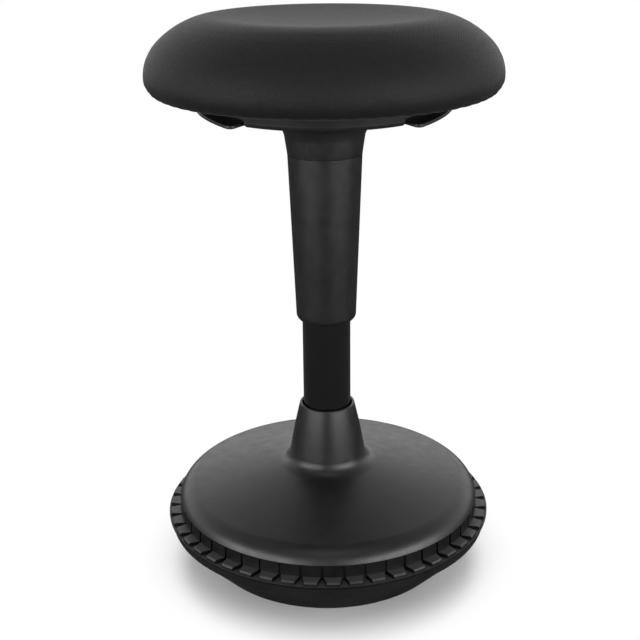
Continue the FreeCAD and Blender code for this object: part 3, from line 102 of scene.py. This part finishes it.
class Material:
    """Small helper that adds nodes and links to a new principled material."""

    def __init__(self, name):
        self.material = bpy.data.materials.new(name)
        self.material.use_nodes = True
        self.tree = self.material.node_tree
        self.shader = self.tree.nodes["Principled BSDF"]
        self.place = self.add("ShaderNodeTexCoord").outputs["Object"]

    def add(self, kind, **settings):
        """New node with settings; a setting that names an input sets that input."""
        node = self.tree.nodes.new(kind)
        for key, value in settings.items():
            if hasattr(node, key):
                setattr(node, key, value)
            else:
                node.inputs[key.replace("_", " ")].default_value = value
        return node

    def link(self, source, target):
        """Joins an output to an input."""
        self.tree.links.new(source, target)

    def noise(self, scale, detail=2.0, roughness=0.5, stretch=None):
        """Noise over the object's own space, in features per metre."""
        place = self.place
        if stretch:
            mapping = self.add("ShaderNodeMapping")
            mapping.inputs["Scale"].default_value = stretch
            self.link(place, mapping.inputs["Vector"])
            place = mapping.outputs["Vector"]
        node = self.add("ShaderNodeTexNoise", Scale=scale, Detail=detail, Roughness=roughness)
        self.link(place, node.inputs["Vector"])
        return node.outputs["Fac"]

    def spread(self, source, low, high, start=0.3, end=0.7):
        """Value mapped from one range to another."""
        node = self.add("ShaderNodeMapRange")
        node.inputs["From Min"].default_value = start
        node.inputs["From Max"].default_value = end
        node.inputs["To Min"].default_value = low
        node.inputs["To Max"].default_value = high
        self.link(source, node.inputs["Value"])
        return node.outputs["Result"]

    def blend(self, factor, first, second):
        """Colour between two colours."""
        node = self.add("ShaderNodeMix", data_type="RGBA")
        self.link(factor, node.inputs["Factor"])
        node.inputs[COLOUR_FIRST].default_value = (*first, 1.0)
        node.inputs[COLOUR_SECOND].default_value = (*second, 1.0)
        return node.outputs[COLOUR_RESULT]

    def facing_up(self, start, end):
        """How far the surface faces up, from 0 to 1 between two sines of its normal's elevation."""
        split = self.add("ShaderNodeSeparateXYZ")
        self.link(self.add("ShaderNodeNewGeometry").outputs["Normal"], split.inputs["Vector"])
        return self.spread(split.outputs["Z"], 0.0, 1.0, start, end)

    def bump(self, height, strength, distance, below=None):
        """Bump from a height, over another bump if one is given."""
        node = self.add("ShaderNodeBump", Strength=strength, Distance=distance)
        self.link(height, node.inputs["Height"])
        if below:
            self.link(below, node.inputs["Normal"])
        return node.outputs["Normal"]

    def to(self, source, socket):
        """Joins an output to one of the shader's sockets."""
        self.link(source, self.shader.inputs[socket])


# Patches of colour and of gloss on moulded surfaces, per metre
PATCH_SCALE = 25.0
GLOSS_SCALE = 100.0


def grained(name, dark, light, roughness, grain, grain_depth):
    """Moulded or rubber surface: patchy colour and gloss over a fine grain."""
    m = Material(name)
    patches = m.noise(PATCH_SCALE, 3.0)
    m.to(m.blend(m.spread(patches, 0.0, 1.0), dark, light), "Base Color")
    m.to(m.spread(m.noise(GLOSS_SCALE, 4.0), roughness[0], roughness[1]), "Roughness")
    fine = m.bump(m.noise(grain, 2.0, 0.6), 0.5, grain_depth)
    m.to(fine, "Normal")
    return m.material


def tread_rubber():
    """Black rubber of the tread: walls painted darker as painted shade, and pads painted lighter where they
    face up as painted light.
    """
    m = Material("tread_rubber")
    # Painted light and shade: faces turned up get a lighter colour and the walls a near-black one, standing
    # in for how the light falls on the tread
    m.to(m.blend(m.facing_up(0.15, 0.8), (0.002, 0.002, 0.0021), (0.030, 0.030, 0.031)), "Base Color")
    m.to(m.spread(m.noise(GLOSS_SCALE, 4.0), 0.34, 0.46), "Roughness")
    m.shader.inputs["Specular IOR Level"].default_value = 0.4
    m.to(m.bump(m.noise(1100.0, 2.0, 0.6), 0.5, 0.05 * MM), "Normal")
    return m.material


def metal(name, colour, roughness, brushed=None):
    """Bare or plated metal with faint brushing."""
    m = Material(name)
    m.shader.inputs["Metallic"].default_value = 1.0
    lighter = tuple(min(1.0, c * 1.15) for c in colour)
    m.to(m.blend(m.spread(m.noise(60.0, 3.0), 0.0, 1.0), colour, lighter), "Base Color")
    m.to(m.spread(m.noise(300.0, 2.0, stretch=brushed), roughness[0], roughness[1]), "Roughness")
    m.to(m.bump(m.noise(900.0, 2.0, stretch=brushed), 0.2, 0.02 * MM), "Normal")
    return m.material


def enamel():
    """Gloss black enamel of the column tube, with a faint orange peel and vertical wipe marks."""
    m = Material("column_enamel")
    m.shader.inputs["Base Color"].default_value = (0.004, 0.004, 0.0045, 1.0)
    m.shader.inputs["Coat Weight"].default_value = 0.6
    m.shader.inputs["Coat Roughness"].default_value = 0.06
    m.to(m.spread(m.noise(40.0, 4.0, stretch=(3.0, 3.0, 0.3)), 0.12, 0.24), "Roughness")
    m.to(m.bump(m.noise(350.0, 1.0), 0.12, 0.05 * MM), "Normal")
    return m.material


def plywood():
    """Birch plywood: grain on the faces and plies on the edge."""
    m = Material("plywood")
    grain = m.noise(30.0, 5.0, stretch=(1.0, 12.0, 1.0))
    m.to(m.blend(m.spread(grain, 0.0, 1.0), (0.50, 0.34, 0.19), (0.66, 0.49, 0.31)), "Base Color")
    m.to(m.spread(grain, 0.5, 0.7), "Roughness")
    plies = m.noise(120.0, 0.0, stretch=(0.05, 0.05, 6.0))
    m.to(m.bump(plies, 0.3, 0.2 * MM), "Normal")
    return m.material


# The cloth's weave: yarns per metre along and across
WEAVE_ROWS = 520.0
WEAVE_COLUMNS = 560.0
WAVE_REPEAT = 20.0            # bands per unit of a wave texture of scale 1, over a full turn


def knit():
    """Black knit: fine crossed ribs of yarn over the cloth's own coordinates, with a soft sheen."""
    m = Material("knit_fabric")
    cloth = m.add("ShaderNodeAttribute", attribute_name="cloth").outputs["Vector"]
    waves = []
    for direction, rate in (("X", WEAVE_COLUMNS), ("Y", WEAVE_ROWS)):
        wave = m.add("ShaderNodeTexWave", bands_direction=direction, wave_profile="SIN", Distortion=1.2)
        wave.inputs["Scale"].default_value = rate / WAVE_REPEAT * 2.0 * math.pi
        wave.inputs["Detail"].default_value = 2.0
        wave.inputs["Detail Scale"].default_value = 3.0
        m.link(cloth, wave.inputs["Vector"])
        waves.append(wave.outputs["Fac"])
    crossed = m.add("ShaderNodeMath", operation="MULTIPLY")
    m.link(waves[0], crossed.inputs[0])
    m.link(waves[1], crossed.inputs[1])
    yarn = crossed.outputs["Value"]
    yarn_share = m.spread(yarn, 0.0, 1.0, 0.0, 0.9)
    m.to(m.blend(yarn_share, (0.002, 0.002, 0.0021), (0.0045, 0.0045, 0.0048)), "Base Color")
    m.to(m.spread(m.noise(900.0, 2.0), 0.55, 0.72), "Roughness")
    m.shader.inputs["Sheen Weight"].default_value = 0.04
    m.shader.inputs["Sheen Roughness"].default_value = 0.35
    m.shader.inputs["Specular IOR Level"].default_value = 0.30
    m.to(m.bump(m.noise(1400.0, 2.0), 0.35, 0.12 * MM, m.bump(yarn, 0.6, 0.25 * MM)), "Normal")
    return m.material


def assign(material, *names):
    """Puts one material on CAD nodes."""
    for name in names:
        mesh = nodes[name].data
        mesh.materials.clear()
        mesh.materials.append(material)


def finish_metals_and_plastics():
    """Materials of the rigid nodes."""
    plastic = grained("moulded_plastic", (0.006, 0.006, 0.0063), (0.009, 0.009, 0.0094), (0.33, 0.42),
                      1500.0, 0.06 * MM)
    sole = grained("sole_rubber", (0.006, 0.006, 0.0064), (0.011, 0.011, 0.0115), (0.50, 0.66),
                   900.0, 0.12 * MM)
    coat = grained("plate_enamel", (0.010, 0.010, 0.010), (0.016, 0.016, 0.016), (0.40, 0.55),
                   700.0, 0.08 * MM)
    weight = grained("cast_weight", (0.05, 0.05, 0.05), (0.09, 0.09, 0.09), (0.6, 0.8), 300.0, 0.4 * MM)
    guide = grained("guide_plastic", (0.62, 0.61, 0.57), (0.70, 0.69, 0.65), (0.35, 0.5),
                    500.0, 0.05 * MM)
    foam = grained("foam", (0.30, 0.29, 0.26), (0.38, 0.37, 0.33), (0.85, 0.95), 800.0, 0.5 * MM)
    zinc = metal("zinc_steel", (0.52, 0.53, 0.54), (0.28, 0.42))
    polished = metal("rod_steel", (0.66, 0.66, 0.68), (0.06, 0.12), (1.0, 1.0, 30.0))
    brass = metal("valve_brass", (0.72, 0.52, 0.22), (0.20, 0.32))
    assign(plastic, "base_cover", "base_pan", "sleeve", "seat_shell")
    assign(plastic, "left_lever", "right_lever", "release_cap")
    assign(tread_rubber(), "tread_ring")
    assign(sole, "rubber_sole", "bump_ring", "piston_ring", "gland_seal")
    assign(enamel(), "outer_tube", "pressure_cylinder")
    assign(coat, "hub_socket", "seat_plate", "seat_socket")
    assign(zinc, "cover_screws", "ballast_screws", "hub_bolts", "tube_end_cap", "rod_clip")
    assign(zinc, "shell_screws", "t_nuts", "plate_bolts", "lever_pins")
    assign(polished, "piston_rod", "bearing_lower_race", "bearing_upper_race", "bearing_balls", "release_pin")
    assign(brass, "valve_body")
    assign(weight, "ballast_ring")
    assign(guide, "guide_bushing", "bearing_cage", "piston", "rod_gland")
    assign(plywood(), "seat_board")
    assign(foam, "seat_foam")


# Rounding of moulded edges
EDGE_BEVEL = 0.8 * MM
EDGE_ANGLE = 25.0
EDGE_SEGMENTS = 3


def ease_edges(*names):
    """Small rounding of moulded edges, which catches the light."""
    for name in names:
        bevel = nodes[name].modifiers.new("eased_edges", "BEVEL")
        bevel.width = EDGE_BEVEL
        bevel.segments = EDGE_SEGMENTS
        bevel.limit_method = "ANGLE"
        bevel.angle_limit = math.radians(EDGE_ANGLE)


finish_metals_and_plastics()
ease_edges("tread_ring")


# Floor and background
FLOOR_HALF = 6.0
FLOOR_COLOUR = (0.82, 0.82, 0.82, 1.0)
FLOOR_MIRRORED = (0.05, 0.05, 0.05, 1.0)
WHITE = (1.0, 1.0, 1.0, 1.0)
SHADOW_CENTRE_Y = 0.035       # the stool's shadow lies a little behind it
SHADOW_CORE = 0.150           # distance from that centre within which the floor shows as lit
SHADOW_END = 0.222            # distance beyond which the floor shows white


def floor():
    """Floor that shows the contact shadow and fades to white, and that is dim in the stool's gloss."""
    signs = [(-1, -1), (1, -1), (1, 1), (-1, 1)]
    corners = [(FLOOR_HALF * x, FLOOR_HALF * y, 0) for x, y in signs]
    obj = mesh_object("floor", corners, [(0, 1, 2, 3)], smooth=False)
    m = Material("floor")
    m.shader.inputs["Base Color"].default_value = FLOOR_COLOUR
    m.shader.inputs["Roughness"].default_value = 1.0
    m.shader.inputs["Specular IOR Level"].default_value = 0.0
    rays = m.add("ShaderNodeLightPath")
    dim = m.add("ShaderNodeBsdfDiffuse", Color=FLOOR_MIRRORED)
    mirrored = m.add("ShaderNodeMixShader")
    m.link(rays.outputs["Is Glossy Ray"], mirrored.inputs["Fac"])
    m.link(m.shader.outputs["BSDF"], mirrored.inputs[1])
    m.link(dim.outputs["BSDF"], mirrored.inputs[2])
    distance = m.add("ShaderNodeVectorMath", operation="DISTANCE")
    m.link(m.place, distance.inputs[0])
    distance.inputs[1].default_value = (0.0, SHADOW_CENTRE_Y, 0.0)
    fade = m.add("ShaderNodeMapRange", interpolation_type="SMOOTHSTEP")
    fade.inputs["From Min"].default_value = SHADOW_CORE
    fade.inputs["From Max"].default_value = SHADOW_END
    m.link(distance.outputs["Value"], fade.inputs["Value"])
    share = m.add("ShaderNodeMath", operation="MULTIPLY")
    m.link(rays.outputs["Is Camera Ray"], share.inputs[0])
    m.link(fade.outputs["Result"], share.inputs[1])
    white = m.add("ShaderNodeEmission", Color=WHITE, Strength=1.0)
    mix = m.add("ShaderNodeMixShader")
    m.link(share.outputs["Value"], mix.inputs["Fac"])
    m.link(mirrored.outputs["Shader"], mix.inputs[1])
    m.link(white.outputs["Emission"], mix.inputs[2])
    m.link(mix.outputs["Shader"], m.tree.nodes["Material Output"].inputs["Surface"])
    obj.data.materials.append(m.material)


# Studio seen by the stool: level of the walls from the front (-Y) to the back (+Y), and of the ceiling
WALL_FRONT = 0.28
WALL_BACK = 1.4
CEILING_SHARE = 0.25
CEILING_START = 0.30          # sine of the elevation where the walls begin to darken
CEILING_END = 0.85


def ramp(tree, source, start, end, low, high):
    """Value mapped from one range to another, for the world's nodes."""
    node = tree.nodes.new("ShaderNodeMapRange")
    node.interpolation_type = "SMOOTHSTEP"
    for socket, value in (("From Min", start), ("From Max", end), ("To Min", low), ("To Max", high)):
        node.inputs[socket].default_value = value
    tree.links.new(source, node.inputs["Value"])
    return node.outputs["Result"]


def world():
    """White to the camera; to the stool a studio bright low behind it and dim overhead and in front."""
    new_world = bpy.data.worlds.new("studio")
    scene.world = new_world
    new_world.use_nodes = True
    tree = new_world.node_tree
    tree.nodes.clear()
    add = tree.nodes.new
    link = tree.links.new
    place = add("ShaderNodeTexCoord")
    split = add("ShaderNodeSeparateXYZ")
    link(place.outputs["Generated"], split.inputs["Vector"])
    depth = ramp(tree, split.outputs["Y"], -0.6, 0.8, WALL_FRONT, WALL_BACK)
    height = ramp(tree, split.outputs["Z"], CEILING_START, CEILING_END, 1.0, CEILING_SHARE)
    level = add("ShaderNodeMath")
    level.operation = "MULTIPLY"
    link(depth, level.inputs[0])
    link(height, level.inputs[1])
    rays = add("ShaderNodeLightPath")
    seen = add("ShaderNodeMath")
    seen.operation = "MAXIMUM"
    link(rays.outputs["Is Camera Ray"], seen.inputs[0])
    link(rays.outputs["Is Transmission Ray"], seen.inputs[1])
    strength = add("ShaderNodeMix")
    strength.data_type = "FLOAT"
    link(seen.outputs["Value"], strength.inputs["Factor"])
    link(level.outputs["Value"], strength.inputs[NUMBER_FIRST])
    strength.inputs[NUMBER_SECOND].default_value = 1.0
    background = add("ShaderNodeBackground")
    background.inputs["Color"].default_value = WHITE
    link(strength.outputs[NUMBER_RESULT], background.inputs["Strength"])
    output = add("ShaderNodeOutputWorld")
    link(background.outputs["Background"], output.inputs["Surface"])


# Lamps: name, place, point aimed at, width and height, power in watts, whether the gloss shows it
LAMPS = (
    ("top_box", (0.0, 0.15, 2.5), (0.0, 0.0, 0.3), (1.8, 1.3), 60.0, False),
    ("front_card", (0.0, -1.1, 2.3), (0.0, 0.0, 0.2), (1.6, 0.9), 4.0, True),
    ("left_box", (-1.60, -1.40, 0.62), (0.0, 0.0, 0.09), (2.6, 0.80), 36.0, True),
    ("right_box", (1.60, -1.40, 0.62), (0.0, 0.0, 0.09), (2.6, 0.80), 40.0, True),
)


def area_light(name, place, target, size, power, mirrored):
    """Soft rectangular lamp aimed at a point; one that is mirrored shows in the stool's gloss."""
    lamp = bpy.data.lights.new(name, "AREA")
    lamp.shape = "RECTANGLE"
    lamp.size = size[0]
    lamp.size_y = size[1]
    lamp.energy = power
    obj = bpy.data.objects.new(name, lamp)
    obj.location = place
    aim = Vector(target) - Vector(place)
    obj.rotation_euler = aim.to_track_quat("-Z", "Y").to_euler()
    obj.visible_glossy = mirrored
    scene.collection.objects.link(obj)


def camera():
    """Camera at the photograph's viewing angle."""
    data = bpy.data.cameras.new("camera")
    data.sensor_width = SENSOR_MM
    data.lens = SENSOR_MM * FOCAL_PIXELS / IMAGE_SIZE
    data.shift_x = (IMAGE_SIZE / 2 - AXIS_PIXEL) / IMAGE_SIZE
    obj = bpy.data.objects.new("camera", data)
    place = Matrix.Translation((0.0, -CAMERA_DISTANCE, CAMERA_HEIGHT))
    pitch = Matrix.Rotation(math.radians(90.0 - CAMERA_PITCH), 4, "X")
    roll = Matrix.Rotation(math.radians(-CAMERA_ROLL), 4, "Z")
    obj.matrix_world = place @ pitch @ roll
    scene.collection.objects.link(obj)
    scene.camera = obj


camera()
floor()
world()
for name, place, target, size, power, mirrored in LAMPS:
    area_light(name, place, target, size, power, mirrored)


# Cushion
SECTION_STEP = 3.0 * MM
AROUND = 192
CLOTH_THICKNESS = 2.0 * MM
FLAP_INNER = 128.5 * MM
START_INSET = 0.5 * MM        # the pad is blown up from this much inside its final size
VOXEL = 5.0 * MM
PRESSURE = 4.0
SIMULATED_FRAMES = 20
FOAM_HOLD = 0.12              # how firmly the moulded foam keeps the cloth to its shape
MOVE_CAP = 1.5 * MM
PUCKERS = 64
PUCKER_DEPTH = 0.6 * MM
SUBDIVISION = 1


def cushion_section(inset):
    """Points of the cushion's outline from the middle of the dish to the lower edge, moved in by an inset."""
    low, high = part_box("seat_cover")
    radius = high[0]
    bottom = low[2]
    widest = bottom + CLOTH_ROUNDS["lower"]
    side = (radius - CLOTH_ROUNDS["side"], widest)
    shoulder = on_circle(side, CLOTH_ROUNDS["side"] - CLOTH_ROUNDS["shoulder"], SIDE_TURN)
    crest = on_circle(shoulder, CLOTH_ROUNDS["shoulder"] - CLOTH_ROUNDS["crest"], CREST_TURN)
    crest_end = on_circle(crest, CLOTH_ROUNDS["crest"], DISH_TURN)
    dish_radius = -crest_end[0] / math.cos(math.radians(DISH_TURN))
    dish = on_circle(crest_end, dish_radius, DISH_TURN)
    lower = (radius - CLOTH_ROUNDS["lower"], widest)
    arcs = [
        (dish, -dish_radius - inset, 90.0, DISH_TURN),
        (crest, CLOTH_ROUNDS["crest"] - inset, DISH_TURN, CREST_TURN),
        (shoulder, CLOTH_ROUNDS["shoulder"] - inset, CREST_TURN, SIDE_TURN),
        (side, CLOTH_ROUNDS["side"] - inset, SIDE_TURN, 0.0),
        (lower, CLOTH_ROUNDS["lower"] - inset, 0.0, -90.0),
    ]
    points = []
    for centre, size, start, end in arcs:
        length = abs(size * math.radians(end - start))
        count = max(4, round(length / SECTION_STEP))
        for i in range(count):
            points.append(on_circle(centre, size, start + (end - start) * i / count))
    points.append(Vector((lower[0], bottom + inset)))
    return points


def turned_mesh(name, points):
    """Closed mesh turned about the stool's axis, with a disc over the last ring."""
    vertices = [(0.0, 0.0, points[0][1])]
    for point in points[1:]:
        for i in range(AROUND):
            turn = 2.0 * math.pi * i / AROUND
            vertices.append((point[0] * math.cos(turn), point[0] * math.sin(turn), point[1]))
    faces = [(0, 1 + i, 1 + (i + 1) % AROUND) for i in range(AROUND)]
    for row in range(len(points) - 2):
        for i in range(AROUND):
            a = 1 + row * AROUND + i
            b = 1 + row * AROUND + (i + 1) % AROUND
            faces.append((a, a + AROUND, b + AROUND, b))
    last = 1 + (len(points) - 2) * AROUND
    faces.append(tuple(range(last + AROUND - 1, last - 1, -1)))
    return mesh_object(name, vertices, faces)


def applied(obj, name):
    """New object from another one with its modifiers applied."""
    graph = bpy.context.evaluated_depsgraph_get()
    mesh = bpy.data.meshes.new_from_object(obj.evaluated_get(graph))
    mesh.shade_smooth()
    result = bpy.data.objects.new(name, mesh)
    scene.collection.objects.link(result)
    return result


def remove(obj):
    """Deletes an object and its mesh."""
    mesh = obj.data
    bpy.data.objects.remove(obj)
    bpy.data.meshes.remove(mesh)


def face_out(mesh):
    """Turns the faces outwards, so that the pressure fills the pad."""
    closed = bmesh.new()
    closed.from_mesh(mesh)
    bmesh.ops.recalc_face_normals(closed, faces=closed.faces)
    if closed.calc_volume(signed=True) < 0.0:
        bmesh.ops.reverse_faces(closed, faces=closed.faces)
    closed.to_mesh(mesh)
    closed.free()


def blow_up(pad, floor_level):
    """Cloth simulation: pressure fills the pad out against the foam; its underside stays on the board."""
    group = pad.vertex_groups.new(name="held")
    held = [v.index for v in pad.data.vertices if v.co.z < floor_level]
    group.add([v.index for v in pad.data.vertices], FOAM_HOLD, "REPLACE")
    group.add(held, 1.0, "REPLACE")
    cloth = pad.modifiers.new("cloth", "CLOTH")
    cloth.settings.use_pressure = True
    cloth.settings.uniform_pressure_force = PRESSURE
    cloth.settings.effector_weights.gravity = 0.0
    cloth.settings.vertex_group_mass = group.name
    cloth.point_cache.frame_start = 1
    cloth.point_cache.frame_end = SIMULATED_FRAMES
    for frame_number in range(1, SIMULATED_FRAMES + 1):
        scene.frame_set(frame_number)
    blown = applied(pad, "blown_pad")
    scene.frame_set(1)
    for before, after in zip(pad.data.vertices, blown.data.vertices):
        move = after.co - before.co
        if move.length > MOVE_CAP:
            move *= MOVE_CAP / move.length
        after.co = before.co + move
    remove(pad)
    return blown


def cushion():
    """Cushion: knit cloth blown up over the foam, turned under and held to the board."""
    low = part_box("seat_cover")[0]
    outline = cushion_section(0.0)
    skin = turned_mesh("pad", cushion_section(START_INSET))
    remesh = skin.modifiers.new("remesh", "REMESH")
    remesh.mode = "VOXEL"
    remesh.voxel_size = VOXEL
    pad = applied(skin, "remeshed_pad")
    remove(skin)
    face_out(pad.data)
    pad = blow_up(pad, low[2] + START_INSET + VOXEL / 2)
    # The foot of the cloth is a flat flap; what lies inside it is cut away
    inside = bmesh.new()
    inside.from_mesh(pad.data)
    middle = [f for f in inside.faces
              if f.calc_center_median().z < low[2] + VOXEL and f.calc_center_median().xy.length < FLAP_INNER]
    bmesh.ops.delete(inside, geom=middle, context="FACES")
    inside.to_mesh(pad.data)
    inside.free()
    pucker(pad.data, low[2])
    spread_cloth(pad.data, outline)
    pad.name = "seat_cushion"
    smooth = pad.modifiers.new("smooth", "SUBSURF")
    smooth.levels = SUBDIVISION
    smooth.render_levels = SUBDIVISION
    thick = pad.modifiers.new("thickness", "SOLIDIFY")
    thick.thickness = CLOTH_THICKNESS
    thick.offset = -1.0
    pad.data.materials.clear()
    pad.data.materials.append(knit())
    return pad


def pucker(mesh, bottom):
    """Small gathers where the cloth turns under, fading out towards the widest level."""
    for v in mesh.vertices:
        radius = math.hypot(v.co.x, v.co.y)
        rise = (v.co.z - bottom) / CLOTH_ROUNDS["lower"]
        if rise < 1.0 and radius > FLAP_INNER:
            turn = math.atan2(v.co.y, v.co.x)
            wave = math.sin(PUCKERS * turn + 2.0 * math.sin(3.0 * turn)) * (1.0 - rise) ** 2
            v.co.z += PUCKER_DEPTH * wave * max(0.0, 1.0 - rise)


def spread_cloth(mesh, outline):
    """Cloth coordinates: distance along the section from the middle, laid out flat about the middle."""
    tree = KDTree(len(outline))
    lengths = [0.0]
    for i, point in enumerate(outline):
        tree.insert((point[0], point[1], 0.0), i)
        if i:
            lengths.append(lengths[-1] + (point - outline[i - 1]).length)
    tree.balance()
    attribute = mesh.attributes.new("cloth", "FLOAT_VECTOR", "POINT")
    for v in mesh.vertices:
        radius = math.hypot(v.co.x, v.co.y)
        near = tree.find((radius, v.co.z, 0.0))[1]
        here = outline[near]
        after = outline[min(near + 1, len(outline) - 1)]
        before = outline[max(near - 1, 0)]
        along = (after - before).normalized()
        length = lengths[near] + (Vector((radius, v.co.z)) - here).dot(along)
        turn = math.atan2(v.co.y, v.co.x)
        attribute.data[v.index].vector = (length * math.cos(turn), length * math.sin(turn), 0.0)


seat = cushion()
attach(seat, "seat_unit")
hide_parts("seat_cover", "seat_foam")
